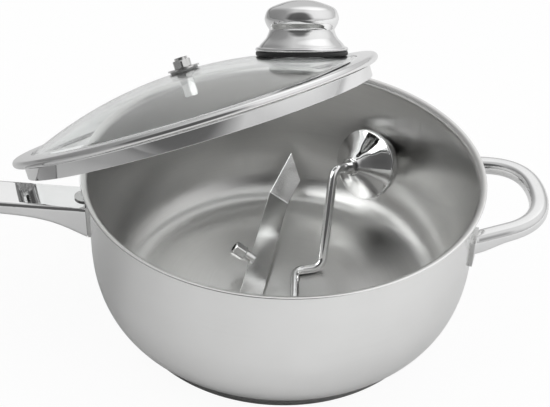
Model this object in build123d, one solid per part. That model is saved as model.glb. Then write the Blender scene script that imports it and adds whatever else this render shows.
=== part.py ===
from build123d import *
from math import asin, cos, degrees, radians, sin, sqrt, tan
import os

# Stovetop popcorn popper, millimetres. +Z is the pot's axis, z = 0 is the face it stands on,
# +X points to the right of the usual view and +Y away from it.
# The pieces lie as they are stored: lid leaning on the rim with its knob resting loose on the
# glass, crank and stirrer inside the pot.

# ---------------------------------------------------------------- named clearances
SEAT = 0.30             # gap between loose pieces that rest on each other
RUN = 0.05              # radial running fit of a shaft in its bore
HOLE = 0.40             # radial clearance of a bolt or bushing in a sheet hole

# ---------------------------------------------------------------- pot
SHEET = 1.2             # wall of the drawn pot
RIM_R = 120.0           # outside of the pouring lip
POT_H = 103.1           # top of the lip
WALL_R = 116.5          # outside of the straight wall
BASE_Z = 5.8            # underside of the drawn pot
BASE_R = 95.5           # where the flat bottom turns up
CORNER_H = 48.0         # height of the elliptical corner
LIP_W = RIM_R - WALL_R
FLOOR_Z = BASE_Z + SHEET

CAP_SHEET = 0.8         # steel cup over the aluminium core
CAP_EDGE = 1.6          # rounding of its lower edge
CORE_GAP = 0.05

HANDLE_AZ = 4.7         # both handles lie on one line, turned this far from X
HANDLE_TOP = 81.0       # top face of both handles at the wall
HANDLE_RISE = 6.2       # degrees, both handles rise outwards
ROOT_GAP = 2.0          # a handle's end stops this far from the wall
PLATE_T = 1.5           # weld plates

# ---------------------------------------------------------------- long handle
LONG_W = 24.5
LONG_ROOT_H = 23.0
LONG_THIN_H = 8.5
LONG_FLARE = 58.0
LONG_LEN = 182.0
LONG_SHEET = 1.3
LONG_END_W = 27.0
LONG_EDGE = 2.6
HANG_R = 5.0
HANG_INSET = 17.0
TAB_R = 5.6             # half-round tab of the bracket
TAB_OUT = 3.0           # its middle, out from the wall
TAB_T = 1.0

# ---------------------------------------------------------------- loop handle
LOOP_REACH = 161.3      # outermost point, from the pot's axis
LOOP_BAND = 11.5
LOOP_H = 9.0
LOOP_ROOT_H = 12.5
LOOP_HALF_ROOT = 43.5   # half width at the wall
LOOP_HALF_MID = 40.5    # half width where the straight arms end
LOOP_ARM = 13.0         # straight stretch beyond the wall
LOOP_FULL = 1.3         # how full the D's front is
LOOP_EDGE = 2.8
LOOP_PLATE_H = 17.0
LOOP_PLATE_W = 16.5

# ---------------------------------------------------------------- lid
LID_R = 120.0
FLANGE_T = 5.0          # rolled edge band, seen from the side
BAND_SHEET = 0.6
SKIRT_R = 113.6
SKIRT_DROP = 11.1       # below the middle of the band
GLASS_R = 107.0         # where the dome leaves the band
GLASS_LAND = 111.0      # flat glass edge held in the band
GLASS_T = 2.8
DOME_TOP = 24.6         # outside of the glass at its middle, above the band's middle
DOME_FOOT = 2.3
LID_POS = (-57.61, 62.72, POT_H - 1.14)
LID_N = (-0.316, 0.420, 0.851)
LID_X = (0.799, 0.601, 0.0)

BUSH_R = 4.2            # threaded tube through the glass
BUSH_BORE_EXTRA = 0.15
BUSH_HEX = 9.0
BUSH_HEX_H = 12.0
NUT_HEX = 11.0
NUT_H = 5.0
WASHER_R = 10.2
WASHER_T = 0.9
GASKET_R = 9.0
GASKET_T = 1.2

# ---------------------------------------------------------------- lid knob
KNOB_TURN = -31.28      # where it lies on the lid, about the lid's axis
KNOB_EDGE = 3.27        # its foot's distance from the band, in plan
KNOB_FOOT_R = 29.2
KNOB_NECK_R = 20.6
KNOB_NECK_H = 16.2
KNOB_CROWN_R = 23.3
KNOB_CROWN_Z = 24.0
KNOB_TOP = 35.6
KNOB_SHEET = 0.8
SEAL_H = 2.6
KNOB_STUD_R = 2.5

# ---------------------------------------------------------------- crank
ROD_R = 3.0
GRIP_AXIS = (0.660, 0.680, -0.320)
GRIP_RIM = (54.6, 77.5, 52.8)    # middle of the grip's widest circle
KNEE_BACK = 33.4                 # from that circle to the rod's first bend
ELBOW_X = 27.0
ELBOW_Y = 19.0
SHAFT_X = 9.8
SHAFT_Y0 = 14.4
SHAFT_Y1 = -92.0
BEND_KNEE = 7.0
BEND_ELBOW = 8.0
BEND_SHAFT = 7.0
TIP_R = 2.4
TIP_LEN = 9.0

GRIP_R = 23.8
GRIP_CONE_H = 15.4
GRIP_SMALL_R = 6.2
GRIP_CROWN_H = 18.6
GRIP_SHEET = 0.8
GRIP_LIP = 1.3
GRIP_NUT_HEX = 10.0
GRIP_NUT_H = 3.2
GRIP_SLEEVE_R = 5.0

# ---------------------------------------------------------------- stirrer
STRIP_W = 15.4
STRIP_T = 1.2
STRIP_BACK = 68.6
STRIP_FRONT = 65.2
TIP_LONG = 37.0
TIP_TAPER = 0.55        # short edge of the flap over its long edge
FOLD_SKEW = -9.8        # degrees, the folds are slanted across the strip
BACK_FOLD = 90.0
FRONT_FOLD = 166.0
FOLD_R = 1.6
STIR_POS = (-13.4, 14.9, 14.64)
STIR_D = (0.152, 0.988, 0.040)
STIR_N = (0.538, -0.117, 0.835)
HUB_OUT = 12.7
HUB_HEX = 8.6
HUB_NUT_H = 8.4
HUB_NECK_R = 3.3
HUB_BORE_R = TIP_R + 0.1

os.makedirs("parts", exist_ok=True)
NODES = {}


def node(name, shape):
    shape = shape.clean() if hasattr(shape, "clean") else shape
    NODES[name] = shape
    export_step(shape, "parts/" + name + ".step")


def ring(r_out, r_in, z0, z1):
    tube = Cylinder(r_out, z1 - z0, align=(Align.CENTER, Align.CENTER, Align.MIN))
    if r_in > 0:
        tube -= Cylinder(r_in, z1 - z0, align=(Align.CENTER, Align.CENTER, Align.MIN))
    return Pos(0, 0, z0) * tube


def hexagon(across, z0, z1, bore=0.0):
    flat = RegularPolygon(across / 2, 6, major_radius=False)
    body = Pos(0, 0, z0) * extrude(flat, z1 - z0)
    round_off = across / 2 * 1.10
    body &= Pos(0, 0, z0) * chamfer_disc(round_off, z1 - z0)
    if bore > 0:
        body -= ring(bore, 0, z0 - 1, z1 + 1)
    return body


def chamfer_disc(r, h):
    disc = Cylinder(r, h, align=(Align.CENTER, Align.CENTER, Align.MIN))
    return chamfer(disc.edges().filter_by(GeomType.CIRCLE), min(0.7, h / 4))


def spun(edges):
    face = make_face(Plane.XZ * edges)
    return revolve(face, Axis.Z)


def lengthwise(body, span):
    return [e for e in body.edges() if e.bounding_box().size.X > span]


def frame(pos, z_dir, x_dir):
    return Plane(origin=Vector(*pos), x_dir=Vector(*x_dir), z_dir=Vector(*z_dir)).location


# ================================================================ pot
def wall_profile():
    """Drawn pot: flat bottom, elliptical corner, straight wall and flared pouring lip."""
    corner_z = BASE_Z + CORNER_H
    r_low = LIP_W - SHEET / 2
    r_top = r_low + SHEET
    end_r = WALL_R + r_low
    outer = [
        Line((0, BASE_Z), (BASE_R, BASE_Z)),
        EllipticalCenterArc((BASE_R, corner_z), WALL_R - BASE_R, CORNER_H, 270, arc_size=90),
        Line((WALL_R, corner_z), (WALL_R, POT_H - SHEET - r_low)),
    ]
    low_z = POT_H - SHEET - r_low
    lip = [
        CenterArc((end_r, low_z), r_low, 90, 90),
        ThreePointArc((end_r, POT_H - SHEET), (end_r + SHEET / 2, POT_H - SHEET / 2), (end_r, POT_H)),
        CenterArc((end_r, low_z), r_top, 90, 90),
    ]
    inner = [
        Line((WALL_R - SHEET, low_z), (WALL_R - SHEET, corner_z)),
        EllipticalCenterArc(
            (BASE_R, corner_z),
            WALL_R - SHEET - BASE_R,
            CORNER_H - SHEET,
            270,
            arc_size=90,
        ),
        Line((BASE_R, FLOOR_Z), (0, FLOOR_Z)),
        Line((0, FLOOR_Z), (0, BASE_Z)),
    ]
    return Curve() + outer + lip + inner


def base_cap():
    cup = Curve() + [
        Line((0, 0), (BASE_R - CAP_EDGE, 0)),
        CenterArc((BASE_R - CAP_EDGE, CAP_EDGE), CAP_EDGE, 270, 90),
        Line((BASE_R, CAP_EDGE), (BASE_R, BASE_Z)),
        Line((BASE_R, BASE_Z), (BASE_R - CAP_SHEET, BASE_Z)),
        Line((BASE_R - CAP_SHEET, BASE_Z), (BASE_R - CAP_SHEET, CAP_EDGE)),
        CenterArc((BASE_R - CAP_EDGE, CAP_EDGE), CAP_EDGE - CAP_SHEET, 270, 90),
        Line((BASE_R - CAP_EDGE, CAP_SHEET), (0, CAP_SHEET)),
        Line((0, CAP_SHEET), (0, 0)),
    ]
    return spun(cup)


def base_core():
    r = BASE_R - CAP_SHEET - CORE_GAP
    disc = ring(r, 0, CAP_SHEET, BASE_Z)
    return chamfer(disc.edges().filter_by(GeomType.CIRCLE).sort_by(Axis.Z)[0], CAP_EDGE - CAP_SHEET)


def outside_wall(grow):
    """Solid bounded by the straight outer wall, used to shape what is welded to it."""
    return ring(WALL_R + grow, 0, BASE_Z + CORNER_H * 0.35, POT_H)


# ---------------------------------------------------------------- long handle, along local +X
def long_side(inset):
    """Side outline of the handle in XZ, x from the pot axis outwards, z from the top face."""
    x0 = WALL_R - 8.0
    x1 = WALL_R + LONG_FLARE
    x2 = WALL_R + LONG_LEN - inset
    root = -LONG_ROOT_H + inset
    thin = -LONG_THIN_H + inset
    low = Spline(
        [(x0, root - 1.6), (WALL_R + 18.0, -13.2 + inset), (x1, thin)],
        tangents=[(1.0, 0.36), (1.0, 0.03)],
    )
    return make_face(
        Plane.XZ
        * (
            Curve()
            + [
                low,
                Line((x1, thin), (x2 + 2, thin)),
                Line((x2 + 2, thin), (x2 + 2, -inset)),
                Line((x2 + 2, -inset), (x2, -inset)),
                Line((x2, -inset), (x0, -inset)),
                Line((x0, -inset), (x0, root - 1.6)),
            ]
        )
    )


def long_plan(inset):
    """Top outline: parallel at the pot, a little wider at the hand end, round end."""
    x0 = WALL_R - 8.0
    x2 = WALL_R + LONG_LEN - inset
    half = LONG_W / 2 - inset
    end = LONG_END_W / 2 - inset
    xe = x2 - end
    top = Spline([(x0, half), (WALL_R + 60, half), (xe, end)], tangents=[(1, 0), (1, 0)])
    low = Spline([(x0, -half), (WALL_R + 60, -half), (xe, -end)], tangents=[(1, 0), (1, 0)])
    nose = ThreePointArc((xe, end), (x2, 0), (xe, -end))
    return make_face(Curve() + [top, nose, low, Line((x0, -half), (x0, half))])


def long_blank(inset):
    side = extrude(long_side(inset), LONG_END_W, both=True)
    plan = Pos(0, 0, -LONG_ROOT_H * 2) * extrude(long_plan(inset), LONG_ROOT_H * 3)
    return side & plan


def tilt_handle(shape):
    """Rises from the wall by the handle's slope, about the top edge at the wall."""
    pivot = Pos(WALL_R, 0, 0)
    return Pos(0, 0, HANDLE_TOP) * pivot * Rot(0, -HANDLE_RISE, 0) * Pos(-WALL_R, 0, 0) * shape


def long_handle():
    body = long_blank(0.0)
    body = fillet(lengthwise(body, 10), LONG_EDGE)
    core = long_blank(LONG_SHEET)
    stop = WALL_R + LONG_LEN - HANG_INSET - HANG_R - 5
    core &= Pos(0, 0, -50) * Box(stop, 60, 100, align=(Align.MIN, Align.CENTER, Align.MIN))
    body -= core
    hole_x = WALL_R + LONG_LEN - HANG_INSET
    body -= Pos(hole_x, 0, -20) * Cylinder(HANG_R, 40)
    body = tilt_handle(body)
    body -= outside_wall(ROOT_GAP)
    return Rot(0, 0, 180 + HANDLE_AZ) * body


def long_bracket():
    """Curved weld plate on the wall with a tongue inside the handle and a tab over its top."""
    half = LONG_W / 2 - LONG_SHEET - 0.15
    plate = Pos(WALL_R, 0, -LONG_ROOT_H / 2 - 0.3) * Box(16, 2 * half, LONG_ROOT_H - 2 * LONG_SHEET - 0.8)
    plate = Pos(0, 0, HANDLE_TOP) * plate
    plate &= ring(WALL_R + PLATE_T, WALL_R, 0, POT_H)
    deep = long_blank(LONG_SHEET + 0.05)
    sheath = long_blank(LONG_SHEET + 1.25)
    tongue = (deep - sheath) & Pos(WALL_R + 6, 0, -20) * Box(26, 2 * half, 60)
    tongue = tilt_handle(tongue)
    tongue -= outside_wall(0.0)
    lap = Pos(WALL_R + TAB_OUT, 0, 0) * extrude(Circle(TAB_R), TAB_T)
    lap += Pos(WALL_R - TAB_OUT / 2, 0, 0) * extrude(Rectangle(3 * TAB_OUT, 2 * TAB_R), TAB_T)
    lap = tilt_handle(lap) - outside_wall(0.0)
    flange = Pos(WALL_R, 0, HANDLE_TOP - 1.5) * Box(16, 2 * TAB_R, 5.0)
    flange &= ring(WALL_R + PLATE_T, WALL_R, 0, POT_H)
    return Rot(0, 0, 180 + HANDLE_AZ) * (plate + tongue + lap + flange)


# ---------------------------------------------------------------- loop handle, along local +X
def loop_curve(reach, half_mid, half_root):
    """Half outline of the D: a straight arm that runs tangent into the rounded front."""
    mid_x = WALL_R + LOOP_ARM
    x0 = WALL_R - 22.0
    slope = (half_mid - half_root) / (mid_x - WALL_R)
    root = (x0, half_root - slope * (WALL_R - x0))
    arm = Line(root, (mid_x, half_mid))
    front = Spline([(mid_x, half_mid), (reach, 0)], tangents=[(1, slope), (0, -1)], tangent_scalars=[LOOP_FULL] * 2)
    return arm, front, root


def loop_face(reach, half_mid, half_root):
    arm, front, root = loop_curve(reach, half_mid, half_root)
    low = [mirror(arm, about=Plane.XZ), mirror(front, about=Plane.XZ)]
    return make_face(Curve() + [arm, front] + low + [Line((root[0], -root[1]), root)])


def loop_handle():
    outer = loop_face(LOOP_REACH, LOOP_HALF_MID, LOOP_HALF_ROOT)
    inner = loop_face(LOOP_REACH - LOOP_BAND, LOOP_HALF_MID - LOOP_BAND, LOOP_HALF_ROOT - LOOP_BAND)
    band = extrude(outer, LOOP_ROOT_H + 2) - extrude(inner, LOOP_ROOT_H + 2)
    band = Pos(0, 0, -LOOP_ROOT_H - 2) * band
    x0 = WALL_R - 22.0
    x1 = WALL_R + 20.0
    low = Spline([(x0, -LOOP_ROOT_H - 2), (WALL_R + 3, -LOOP_ROOT_H + 1), (x1, -LOOP_H)], tangents=[(1, 0.1), (1, 0)])
    side = make_face(
        Plane.XZ
        * (
            Curve()
            + [
                low,
                Line((x1, -LOOP_H), (LOOP_REACH + 5, -LOOP_H)),
                Line((LOOP_REACH + 5, -LOOP_H), (LOOP_REACH + 5, 0)),
                Line((LOOP_REACH + 5, 0), (x0, 0)),
                Line((x0, 0), (x0, -LOOP_ROOT_H - 2)),
            ]
        )
    )
    band &= extrude(side, 80, both=True)
    band = fillet(lengthwise(band, 10), LOOP_EDGE)
    band = tilt_handle(band) - outside_wall(ROOT_GAP)
    return Rot(0, 0, HANDLE_AZ) * band


def loop_bracket(side):
    """Weld plate on the wall with a stub that the loop's arm is spot welded to."""
    az = side * degrees(asin((LOOP_HALF_ROOT - LOOP_BAND / 2) / WALL_R))
    mid_z = HANDLE_TOP - LOOP_EDGE - LOOP_PLATE_H / 2
    plate = Rot(0, 0, az) * Pos(WALL_R + 1, 0, mid_z) * Box(14, LOOP_PLATE_W, LOOP_PLATE_H)
    plate &= ring(WALL_R + ROOT_GAP, WALL_R, 0, POT_H)
    return Rot(0, 0, HANDLE_AZ) * plate


node("pot_body", spun(wall_profile()))
node("base_core", base_core())
node("base_cap", base_cap())
node("long_handle", long_handle())
node("long_handle_bracket", long_bracket())
node("loop_handle", loop_handle())
node("loop_bracket_back", loop_bracket(1))
node("loop_bracket_front", loop_bracket(-1))

# ================================================================ lid
LID = frame(LID_POS, LID_N, LID_X)
DOME_RISE = DOME_TOP - DOME_FOOT
DOME_SPHERE = (GLASS_R ** 2 + DOME_RISE ** 2) / (2 * DOME_RISE)
DOME_CENTRE = DOME_TOP - DOME_SPHERE


def dome_z(rho, depth=0.0):
    r = DOME_SPHERE - depth
    return DOME_CENTRE + sqrt(r * r - rho * rho)


def lid_glass():
    """Spherical dome with a flat land that the band grips, and a hole for the bushing."""
    hole = BUSH_R + HOLE
    t = GLASS_T
    top_mid = GLASS_R * 0.5
    section = Curve() + [
        ThreePointArc((hole, dome_z(hole)), (top_mid, dome_z(top_mid)), (GLASS_R, dome_z(GLASS_R))),
        Line((GLASS_R, dome_z(GLASS_R)), (GLASS_LAND, dome_z(GLASS_R) - 0.6)),
        Line((GLASS_LAND, dome_z(GLASS_R) - 0.6), (GLASS_LAND, dome_z(GLASS_R, t) - 0.2)),
        Line((GLASS_LAND, dome_z(GLASS_R, t) - 0.2), (GLASS_R, dome_z(GLASS_R, t))),
        ThreePointArc(
            (GLASS_R, dome_z(GLASS_R, t)),
            (top_mid, dome_z(top_mid, t)),
            (hole, dome_z(hole, t)),
        ),
        Line((hole, dome_z(hole, t)), (hole, dome_z(hole))),
    ]
    return spun(section)


def lid_band():
    """Rolled steel edge: a bead outside, a channel over the glass land and a plug skirt below."""
    s = BAND_SHEET
    half = FLANGE_T / 2
    land_top = dome_z(GLASS_R)
    land_low = dome_z(GLASS_R, GLASS_T) - 0.2
    bead = LID_R - half
    section = Curve() + [
        CenterArc((bead, 0), half, -90, 180),
        Line((bead, half), (GLASS_R + 0.6, half + 0.35)),
        Line((GLASS_R + 0.6, half + 0.35), (GLASS_R + 0.3, land_top + 0.02)),
        Line((GLASS_R + 0.3, land_top + 0.02), (GLASS_LAND, land_top - 0.55)),
        Line((GLASS_LAND, land_top - 0.55), (GLASS_LAND, land_low)),
        Line((GLASS_LAND, land_low), (GLASS_R + 0.5, land_low + 0.02)),
        Line((GLASS_R + 0.5, land_low + 0.02), (GLASS_R + 0.5, land_low - s)),
        Line((GLASS_R + 0.5, land_low - s), (SKIRT_R - s - 1.2, land_low - s)),
        CenterArc((SKIRT_R - s - 1.2, land_low - s - 1.2), 1.2, 0, 90),
        Line((SKIRT_R - s, land_low - s - 1.2), (SKIRT_R - s, -SKIRT_DROP + s / 2)),
        ThreePointArc(
            (SKIRT_R - s, -SKIRT_DROP + s / 2),
            (SKIRT_R - s / 2, -SKIRT_DROP),
            (SKIRT_R, -SKIRT_DROP + s / 2),
        ),
        Line((SKIRT_R, -SKIRT_DROP + s / 2), (SKIRT_R, -half - 0.8)),
        CenterArc((SKIRT_R + 0.8, -half - 0.8), 0.8, 90, 90),
        Line((SKIRT_R + 0.8, -half), (bead, -half)),
    ]
    return spun(section)


APEX = dome_z(BUSH_R + HOLE)
UNDER = dome_z(GASKET_R, GLASS_T)
BUSH_BORE = ROD_R + BUSH_BORE_EXTRA


def lid_hardware():
    lower_top = UNDER
    lower_bot = lower_top - GASKET_T
    flange_bot = lower_bot - WASHER_T
    hex_bot = flange_bot - BUSH_HEX_H
    upper_bot = dome_z(BUSH_R + HOLE)
    upper_top = upper_bot + GASKET_T
    washer_top = upper_top + WASHER_T
    nut_top = washer_top + NUT_H
    bushing = ring(BUSH_R, 0, lower_bot, nut_top + 1.6)
    bushing += ring(GASKET_R, 0, flange_bot, lower_bot)
    bushing += hexagon(BUSH_HEX, hex_bot, flange_bot)
    bushing -= ring(BUSH_BORE, 0, hex_bot - 1, nut_top + 3)
    lower = ring(GASKET_R, BUSH_R, lower_bot, lower_top)
    upper = ring(GASKET_R, BUSH_R, upper_bot, upper_top)
    washer = ring(WASHER_R, BUSH_R, upper_top, washer_top)
    nut = hexagon(NUT_HEX, washer_top, nut_top, BUSH_R)
    return bushing, lower, upper, washer, nut


bushing, lower, upper, washer, nut = lid_hardware()
node("lid_glass", LID * lid_glass())
node("lid_rim_band", LID * lid_band())
node("lid_bushing", LID * bushing)
node("lid_lower_gasket", LID * lower)
node("lid_upper_gasket", LID * upper)
node("lid_washer", LID * washer)
node("lid_nut", LID * nut)

# ================================================================ lid knob, resting on the dome
KNOB_RHO = GLASS_R - KNOB_EDGE - KNOB_FOOT_R
KNOB_LEAN = degrees(asin(KNOB_RHO / DOME_SPHERE))
SAG = DOME_SPHERE - sqrt(DOME_SPHERE ** 2 - KNOB_FOOT_R ** 2)
KNOB = (
    LID
    * Rot(0, 0, KNOB_TURN)
    * Pos(0, 0, DOME_CENTRE)
    * Rot(0, KNOB_LEAN, 0)
    * Pos(0, 0, DOME_SPHERE - SAG + SEAT)
)


def knob_seal():
    """Soft ring under the skirt, hollowed to the dome."""
    body = ring(KNOB_FOOT_R, KNOB_FOOT_R - 5.0, 0, SEAL_H)
    body = fillet(body.edges().filter_by(GeomType.CIRCLE).sort_by(SortBy.RADIUS)[-2:], 0.8)
    return body - Pos(0, 0, SAG - SEAT - DOME_SPHERE) * Sphere(DOME_SPHERE + SEAT)


def knob_skirt():
    """Spun cone with a rolled foot that carries the seal."""
    s = KNOB_SHEET
    z0 = SEAL_H
    roll = 1.3
    foot = KNOB_FOOT_R - roll + 0.2
    section = Curve() + [
        Line((foot - 4.2, z0), (foot, z0)),
        CenterArc((foot, z0 + roll), roll, 270, 180),
        Line((foot, z0 + 2 * roll), (foot - 0.7, z0 + 2 * roll)),
        Spline(
            [(foot - 0.7, z0 + 2 * roll), (KNOB_NECK_R + 2.0, KNOB_NECK_H - 5.2), (KNOB_NECK_R, KNOB_NECK_H)],
            tangents=[(-0.75, 1), (-0.10, 1)],
        ),
        Line((KNOB_NECK_R, KNOB_NECK_H), (KNOB_NECK_R - s, KNOB_NECK_H)),
        Spline(
            [
                (KNOB_NECK_R - s, KNOB_NECK_H),
                (KNOB_NECK_R + 2.0 - s, KNOB_NECK_H - 5.6),
                (foot - 4.2, z0 + 1.2),
            ],
            tangents=[(0.10, -1), (0.75, -1)],
        ),
        Line((foot - 4.2, z0 + 1.2), (foot - 4.2, z0)),
    ]
    return spun(section)


def knob_crown():
    """Hollow mushroom head; its inside floor sits on the neck of the skirt."""
    s = KNOB_SHEET
    r0 = KNOB_NECK_R
    z0 = KNOB_NECK_H
    section = Curve() + [
        Line((0, z0), (r0, z0)),
        Spline(
            [(r0, z0), (KNOB_CROWN_R, KNOB_CROWN_Z), (KNOB_CROWN_R * 0.62, KNOB_TOP - 2.6), (0, KNOB_TOP)],
            tangents=[(0.7, 1), (-1, 0)],
        ),
        Line((0, KNOB_TOP), (0, KNOB_TOP - 2 * s)),
        Spline(
            [
                (0, KNOB_TOP - 2 * s),
                (KNOB_CROWN_R * 0.60, KNOB_TOP - 2.6 - 2 * s),
                (KNOB_CROWN_R - 2 * s, KNOB_CROWN_Z),
                (r0 - 2 * s, z0 + 2 * s),
            ],
            tangents=[(1, 0), (-0.7, -1)],
        ),
        Line((r0 - 2 * s, z0 + 2 * s), (0, z0 + 2 * s)),
        Line((0, z0 + 2 * s), (0, z0)),
    ]
    return spun(section)


def knob_stud():
    """Threaded boss in the middle, where the lid screw enters from below."""
    z1 = KNOB_NECK_H
    body = hexagon(9.0, SAG + 1.2, z1)
    body += ring(8.0, 0, z1 - 1.6, z1)
    body -= ring(KNOB_STUD_R, 0, 0, z1 - 4.0)
    return body


node("knob_crown", KNOB * knob_crown())
node("knob_skirt", KNOB * knob_skirt())
node("knob_seal", KNOB * knob_seal())
node("knob_boss", KNOB * knob_stud())

# ================================================================ crank
AX = Vector(*GRIP_AXIS).normalized()
RIM_PT = Vector(*GRIP_RIM)
SHAFT_Z = FLOOR_Z + ROD_R + SEAT
KNEE = RIM_PT - AX * KNEE_BACK
ELBOW = Vector(ELBOW_X, ELBOW_Y, SHAFT_Z)
CORNER = Vector(SHAFT_X, SHAFT_Y0, SHAFT_Z)
SHAFT_END = Vector(SHAFT_X, SHAFT_Y1, SHAFT_Z)
GRIP = Plane(origin=RIM_PT, x_dir=Vector(0, 0, 1).cross(AX), z_dir=AX).location
SPINDLE_IN = 4.5


def crank_rod():
    """One round rod: grip spindle, arm, short offset and the long shaft with a reduced end."""
    spindle = RIM_PT + AX * SPINDLE_IN
    path = FilletPolyline(
        spindle,
        KNEE,
        ELBOW,
        CORNER,
        SHAFT_END + Vector(0, TIP_LEN, 0),
        radius=[BEND_KNEE, BEND_ELBOW, BEND_SHAFT],
    )
    section = Plane(origin=path @ 0, z_dir=path % 0) * Circle(ROD_R)
    rod = sweep(section, path=path)
    tip = Plane(origin=SHAFT_END + Vector(0, TIP_LEN, 0), z_dir=(0, -1, 0)).location
    end = Cylinder(TIP_R, TIP_LEN, align=(Align.CENTER, Align.CENTER, Align.MIN))
    end = chamfer(end.edges().filter_by(GeomType.CIRCLE).sort_by(Axis.Z)[-1], 0.6)
    rod += tip * end
    head = GRIP * ring(4.2, 0, SPINDLE_IN, SPINDLE_IN + 1.4)
    return rod + head


def grip_nut():
    z1 = -GRIP_CONE_H - SEAT
    return hexagon(GRIP_NUT_HEX, z1 - GRIP_NUT_H, z1, ROD_R)


def grip_cone():
    """Spun cone from the spindle out to the widest circle, with a rolled lip."""
    s = GRIP_SHEET
    r = GRIP_R - GRIP_LIP
    z0 = -GRIP_CONE_H
    section = Curve() + [
        Line((GRIP_SLEEVE_R, z0), (GRIP_SMALL_R, z0)),
        Spline(
            [(GRIP_SMALL_R, z0), (GRIP_SMALL_R + 6.6, z0 * 0.52), (r, -GRIP_LIP)],
            tangents=[(0.55, 1), (1, 0.62)],
        ),
        CenterArc((r, 0), GRIP_LIP, -90, 180),
        Line((r, GRIP_LIP), (r - 3.0, GRIP_LIP)),
        Line((r - 3.0, GRIP_LIP), (r - 3.0, -GRIP_LIP * 0.2)),
        Spline(
            [
                (r - 3.0, -GRIP_LIP * 0.2),
                (GRIP_SMALL_R + 6.6 - s, z0 * 0.52 + s),
                (GRIP_SLEEVE_R, z0 + 2.6),
            ],
            tangents=[(-1, -0.62), (-0.55, -1)],
        ),
        Line((GRIP_SLEEVE_R, z0 + 2.6), (GRIP_SLEEVE_R, z0)),
    ]
    return spun(section)


def grip_crown():
    """Rounded palm head closing the cone."""
    r = GRIP_R - GRIP_LIP - 0.8
    h = GRIP_CROWN_H
    z0 = GRIP_LIP
    s = 1.2
    section = Curve() + [
        Line((r - 3.4, z0), (r, z0)),
        Spline([(r, z0), (r * 0.93, h * 0.52), (r * 0.56, h * 0.90), (0, h)], tangents=[(0.16, 1), (-1, 0)]),
        Line((0, h), (0, h - s)),
        Spline(
            [(0, h - s), (r * 0.53, h * 0.90 - s), (r * 0.93 - s, h * 0.50), (r - 3.4, z0)],
            tangents=[(1, 0), (-0.30, -1)],
        ),
    ]
    return spun(section)


def grip_sleeve():
    """Bearing sleeve in the cone; the spindle turns in it and its head stops it pulling off."""
    z0 = -GRIP_CONE_H
    z1 = SPINDLE_IN - SEAT
    body = ring(GRIP_SLEEVE_R, ROD_R + RUN, z0, z1)
    web = ring(GRIP_R - GRIP_LIP - 3.0, ROD_R + RUN, -GRIP_LIP * 0.2, GRIP_LIP)
    return body + web


node("crank_rod", crank_rod())
node("grip_nut", GRIP * grip_nut())
node("grip_cone", GRIP * grip_cone())
node("grip_crown", GRIP * grip_crown())
node("grip_sleeve", GRIP * grip_sleeve())

# ================================================================ stirrer, local X along the strip
STIR = frame(STIR_POS, STIR_N, STIR_D)


def folded_tip(angle):
    """Fold and slanted flap in a local frame: fold line on Y, flat strip arriving along +X."""
    half = STRIP_W / 2
    skew = radians(FOLD_SKEW)
    axis_z = STRIP_T + FOLD_R
    wide = half / cos(skew)
    web = Plane(origin=(0, 0, 0), x_dir=(0, 1, 0), z_dir=(1, 0, 0))
    section = web * Pos(0, STRIP_T / 2) * Rectangle(2 * wide, STRIP_T)
    bend = revolve(section, Axis((0, 0, axis_z), (0, -1, 0)), angle)
    along = (cos(skew), -sin(skew))
    short = TIP_LONG * TIP_TAPER
    outline = Polyline(
        (0, wide),
        (TIP_LONG * along[0], wide + TIP_LONG * along[1]),
        (short * along[0], -wide + short * along[1]),
        (0, -wide),
        close=True,
    )
    flap = extrude(make_face(outline), STRIP_T)
    flap = Pos(0, 0, axis_z) * Rot(0, -angle, 0) * Pos(0, 0, -axis_z) * flap
    return bend + flap


def stirrer_blade():
    half = STRIP_W / 2
    run = half * tan(radians(FOLD_SKEW))
    flat = Polyline(
        (STRIP_BACK + run, half),
        (STRIP_BACK - run, -half),
        (-STRIP_FRONT + run, -half),
        (-STRIP_FRONT - run, half),
        close=True,
    )
    body = extrude(make_face(flat), STRIP_T)
    body += Pos(STRIP_BACK, 0, 0) * Rot(0, 0, -FOLD_SKEW) * folded_tip(BACK_FOLD)
    front = mirror(Rot(0, 0, -FOLD_SKEW) * folded_tip(FRONT_FOLD), about=Plane.YZ)
    body += Pos(-STRIP_FRONT, 0, 0) * front
    return Pos(0, 0, -STRIP_T / 2) * body


HUB = STIR * Pos(0, STRIP_W / 2, 0) * Rot(-90, 0, 0)


def hub_neck():
    neck = ring(HUB_NECK_R, 0, -2.6, HUB_OUT - HUB_NUT_H)
    slot = Box(2 * HUB_NECK_R + 2, STRIP_T, 2.6, align=(Align.CENTER, Align.CENTER, Align.MAX))
    return neck - slot


def hub_nut():
    z0 = HUB_OUT - HUB_NUT_H
    return hexagon(HUB_HEX, z0, HUB_OUT, HUB_BORE_R)


node("stirrer_blade", STIR * stirrer_blade())
node("stirrer_neck", HUB * hub_neck())
node("stirrer_hub_nut", HUB * hub_nut())
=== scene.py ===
import math

import bmesh
import bpy
from mathutils import Matrix, Vector


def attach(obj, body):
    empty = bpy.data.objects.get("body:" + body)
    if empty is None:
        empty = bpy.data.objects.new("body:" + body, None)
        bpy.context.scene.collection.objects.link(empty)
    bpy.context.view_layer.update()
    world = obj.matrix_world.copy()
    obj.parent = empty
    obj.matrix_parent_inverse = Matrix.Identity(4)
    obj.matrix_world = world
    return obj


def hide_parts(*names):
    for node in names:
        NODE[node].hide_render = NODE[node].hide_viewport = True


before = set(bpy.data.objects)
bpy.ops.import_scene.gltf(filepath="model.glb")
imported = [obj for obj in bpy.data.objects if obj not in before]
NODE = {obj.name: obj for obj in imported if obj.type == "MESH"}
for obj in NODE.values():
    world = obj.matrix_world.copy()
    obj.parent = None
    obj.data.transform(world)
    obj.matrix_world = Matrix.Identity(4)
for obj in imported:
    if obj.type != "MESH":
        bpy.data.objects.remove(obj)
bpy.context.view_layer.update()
MM = 0.001
SAME_POINT = 1e-4       # profile points nearer than this, in mm, are one point
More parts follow.
